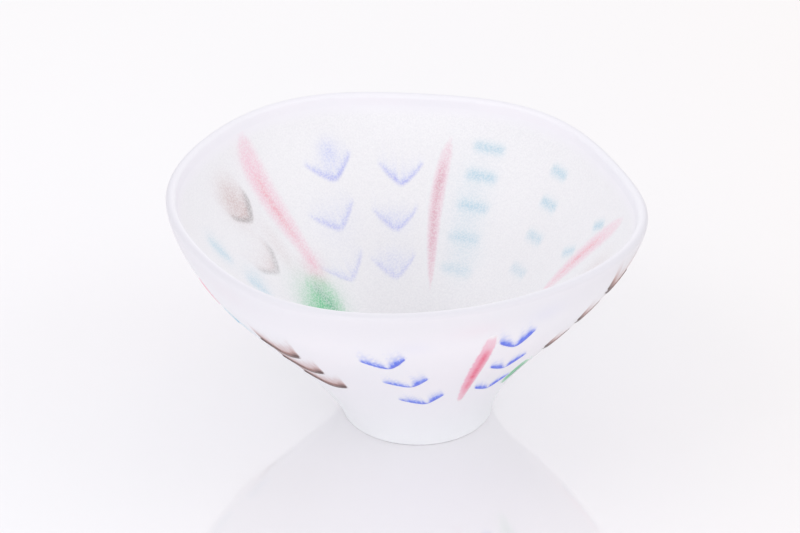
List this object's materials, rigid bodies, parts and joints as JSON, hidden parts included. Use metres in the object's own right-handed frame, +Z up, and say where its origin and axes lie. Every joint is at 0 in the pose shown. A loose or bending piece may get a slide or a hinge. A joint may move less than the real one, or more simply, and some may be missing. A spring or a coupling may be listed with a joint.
{
  "type": "art glass bowl",
  "caption": "Free-blown flared glass bowl on a small ground foot, white lined, with crescents, dashes and bars of coloured glass let into its outside.",
  "frame": {"origin": "middle of the ground foot, in the plane that the bowl rests on", "axes": "+Z up out of the bowl's mouth, -Y towards the side with the rose bar between two columns of blue crescents, +X to the right of it"},
  "size_m": [0.2298, 0.2243, 0.1212],
  "materials": {
    "clear_glass": "matt outside, fire-polished lip",
    "white_glass": "grainy white, softly glossy",
    "blue_glass": "cobalt blue, satin",
    "turquoise_glass": "pale turquoise, satin",
    "rose_glass": "rose pink with a deeper core, satin",
    "crimson_glass": "dark rose, satin",
    "brown_glass": "tobacco brown, satin",
    "green_glass": "leaf green, satin"
  },
  "bodies": {
    "root": {"blue_crescent_far_left_1": "blue_glass", "blue_crescent_far_left_2": "blue_glass", "blue_crescent_far_left_3": "blue_glass", "blue_crescent_far_right_1": "blue_glass", "blue_crescent_far_right_2": "blue_glass", "blue_crescent_far_right_3": "blue_glass", "blue_crescent_front_left_1": "blue_glass", "blue_crescent_front_left_2": "blue_glass", "blue_crescent_front_left_3": "blue_glass", "blue_crescent_front_right_1": "blue_glass", "blue_crescent_front_right_2": "blue_glass", "blue_crescent_front_right_3": "blue_glass", "brown_scallop_far_left_1": "brown_glass", "brown_scallop_far_left_2": "brown_glass", "brown_scallop_front_left_1": "brown_glass", "brown_scallop_front_left_2": "brown_glass", "brown_scallop_front_left_3": "brown_glass", "brown_scallop_right_1": "brown_glass", "brown_scallop_right_2": "brown_glass", "brown_scallop_right_3": "brown_glass", "clear_casing": "clear_glass", "crimson_bar_far": "crimson_glass", "green_streak_far_left": "green_glass", "green_streak_front_right": "green_glass", "rose_bar_far_left": "rose_glass", "rose_bar_front": "rose_glass", "rose_bar_near_left": "rose_glass", "rose_bar_right": "rose_glass", "turquoise_dash_far_1": "turquoise_glass", "turquoise_dash_far_2": "turquoise_glass", "turquoise_dash_far_3": "turquoise_glass", "turquoise_dash_far_4": "turquoise_glass", "turquoise_dash_far_5": "turquoise_glass", "turquoise_dash_left_1": "turquoise_glass", "turquoise_dash_left_2": "turquoise_glass", "turquoise_dash_near_left": "turquoise_glass", "turquoise_dash_near_right_1": "turquoise_glass", "turquoise_dash_near_right_2": "turquoise_glass", "turquoise_dash_right_1": "turquoise_glass", "turquoise_dash_right_2": "turquoise_glass", "turquoise_dash_right_3": "turquoise_glass", "turquoise_dash_right_4": "turquoise_glass", "white_lining": "white_glass"}
  },
  "joints": []
}
